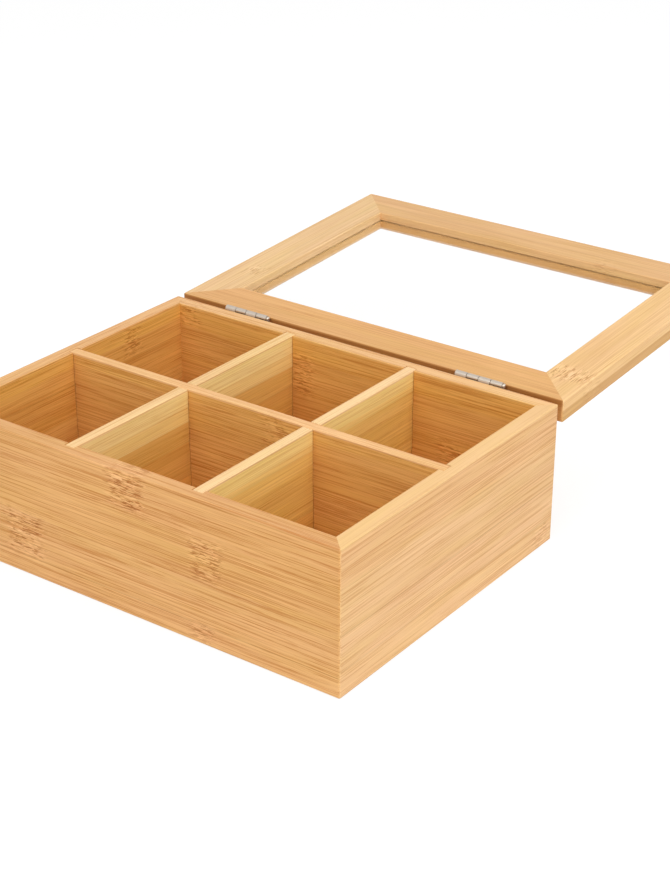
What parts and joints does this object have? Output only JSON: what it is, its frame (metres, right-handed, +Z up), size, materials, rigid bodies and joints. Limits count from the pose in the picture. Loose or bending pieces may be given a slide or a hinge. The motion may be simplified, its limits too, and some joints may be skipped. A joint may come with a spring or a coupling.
{
  "type": "tea bag organizer box",
  "caption": "Low rectangular bamboo box split into open-topped compartments for tea bags, with a glazed mitred-frame lid on butt hinges along its back edge.",
  "frame": {"origin": "centre of the box's flat underside, without the lid", "axes": "+X to the right along the front wall, +Y from the front wall to the hinges and the open lid, +Z up"},
  "size_m": [0.24, 0.3645, 0.0832],
  "materials": {
    "bamboo_carcass": "satin lacquered bamboo",
    "bamboo_divider": "satin lacquered bamboo",
    "bamboo_lid": "satin lacquered bamboo",
    "clear_pane": "clear polished",
    "hinge_steel": "plain zinc-plated",
    "screw_steel": "plain zinc-plated"
  },
  "bodies": {
    "box": {"front_wall": "bamboo_carcass", "back_wall": "bamboo_carcass", "left_wall": "bamboo_carcass", "right_wall": "bamboo_carcass", "bottom_panel": "bamboo_carcass", "long_divider": "bamboo_divider", "short_divider_left": "bamboo_divider", "short_divider_right": "bamboo_divider", "left_hinge_box_leaf": "hinge_steel", "right_hinge_box_leaf": "hinge_steel", "left_hinge_pin": "hinge_steel", "right_hinge_pin": "hinge_steel", "left_hinge_box_screws": "screw_steel", "right_hinge_box_screws": "screw_steel"},
    "lid": {"lid_front_rail": "bamboo_lid", "lid_back_rail": "bamboo_lid", "lid_left_stile": "bamboo_lid", "lid_right_stile": "bamboo_lid", "glass_pane": "clear_pane", "left_hinge_lid_leaf": "hinge_steel", "right_hinge_lid_leaf": "hinge_steel", "left_hinge_lid_screws": "screw_steel", "right_hinge_lid_screws": "screw_steel"}
  },
  "joints": [
    {"name": "lid_hinge", "type": "hinge", "parent": "box", "child": "lid", "pos_m": [0, 0.0921, 0.0742], "axis": [1, 0, 0], "range_deg": [0, 177.1]}
  ]
}
